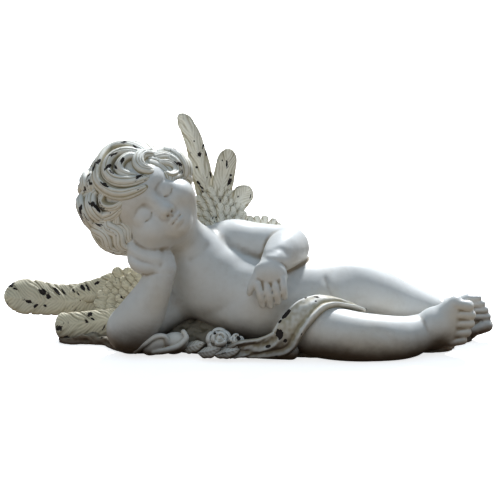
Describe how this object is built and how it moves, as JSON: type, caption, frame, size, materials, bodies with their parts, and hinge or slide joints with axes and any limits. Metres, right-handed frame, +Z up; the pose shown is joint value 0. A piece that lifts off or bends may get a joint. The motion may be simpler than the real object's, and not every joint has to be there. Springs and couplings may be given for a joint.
{
  "type": "reclining cherub garden statue",
  "caption": "Cast garden statue of a sleeping winged cherub lying on its side on a thin base, cheek on hand, with a carved cloth, feathers, leaves and roses.",
  "frame": {"origin": "on the underside, below the middle of the figure, between the belly and the hips", "axes": "+X from the head towards the feet, +Y away from the side that the figure faces, +Z up, underside at Z = 0"},
  "size_m": [0.486, 0.163, 0.2245],
  "materials": {
    "chipped_white_paint": "white paint over cast material, satin, worn through to dark brown on wings, hair and cloth, with a grey-brown wash in the hollows"
  },
  "bodies": {
    "root": {"angel_statue": "chipped_white_paint"}
  },
  "joints": []
}
